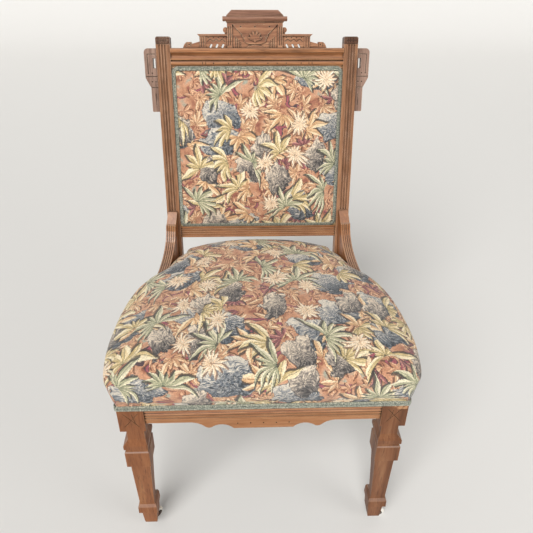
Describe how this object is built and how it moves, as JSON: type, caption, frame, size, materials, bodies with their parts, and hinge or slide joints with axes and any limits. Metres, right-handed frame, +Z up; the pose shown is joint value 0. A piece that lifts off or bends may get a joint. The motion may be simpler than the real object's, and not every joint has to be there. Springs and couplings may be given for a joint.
{
  "type": "upholstered side chair",
  "caption": "Armless side chair with a sprung tapestry seat and padded back, carved pierced crest, fluted posts, reeded hip brackets and sawn front legs on porcelain casters.",
  "frame": {"origin": "middle of the chair's bounding box, on the floor", "axes": "+Z up, +Y towards the back, +X to the right of someone who looks at the chair's front"},
  "size_m": [0.5994, 0.6041, 0.9749],
  "materials": {
    "walnut": "satin, open straight grain",
    "softwood": "sawn",
    "tapestry": "woven, patterned",
    "gimp": "braided",
    "linen": "coarse weave",
    "stuffing": "matte",
    "dust_cloth": "matte",
    "iron": "dull, dark",
    "porcelain": "glazed",
    "steel": "bare"
  },
  "bodies": {
    "frame": {"left_post": "walnut", "right_post": "walnut", "crest_rail": "walnut", "crest_panel": "walnut", "crest_cornice": "walnut", "left_gallery": "walnut", "right_gallery": "walnut", "left_crest_end": "walnut", "right_crest_end": "walnut", "left_ear": "walnut", "right_ear": "walnut", "lower_back_rail": "walnut", "left_hip_bracket": "walnut", "right_hip_bracket": "walnut", "front_rail": "walnut", "left_side_rail": "walnut", "right_side_rail": "walnut", "rear_rail": "walnut", "left_front_leg": "walnut", "right_front_leg": "walnut", "corner_blocks": "softwood", "corner_screws": "steel", "bracket_screws": "steel", "frame_dowels": "softwood", "crest_dowels": "softwood", "left_panel_stile": "softwood", "right_panel_stile": "softwood", "top_panel_rail": "softwood", "bottom_panel_rail": "softwood", "panel_screws": "steel", "back_webbing": "linen", "back_hessian": "linen", "back_stuffing": "stuffing", "back_cover": "tapestry", "back_gimp": "gimp", "outside_back_cover": "tapestry", "seat_webbing_long": "linen", "seat_webbing_cross": "linen", "seat_springs": "steel", "seat_hessian": "linen", "seat_stuffing": "stuffing", "seat_cover": "tapestry", "seat_gimp": "gimp", "dust_cover": "dust_cloth", "left_caster_socket": "iron", "right_caster_socket": "iron"},
    "left_caster": {"left_caster_horn": "iron", "left_caster_axle": "steel"},
    "left_wheel": {"left_caster_wheel": "porcelain"},
    "right_caster": {"right_caster_horn": "iron", "right_caster_axle": "steel"},
    "right_wheel": {"right_caster_wheel": "porcelain"}
  },
  "joints": [
    {"name": "left_caster_swivel", "type": "hinge", "parent": "frame", "child": "left_caster", "pos_m": [-0.24515, -0.25462, 0], "axis": [0, 0, 1], "continuous": true},
    {"name": "left_wheel_spin", "type": "hinge", "parent": "left_caster", "child": "left_wheel", "pos_m": [-0.23485, -0.23748, 0.0105], "axis": [-0.8572, 0.515, 0], "continuous": true},
    {"name": "right_caster_swivel", "type": "hinge", "parent": "frame", "child": "right_caster", "pos_m": [0.24515, -0.25462, 0], "axis": [0, 0, 1], "continuous": true},
    {"name": "right_wheel_spin", "type": "hinge", "parent": "right_caster", "child": "right_wheel", "pos_m": [0.26495, -0.25184, 0.0105], "axis": [-0.1392, 0.9903, 0], "continuous": true}
  ]
}
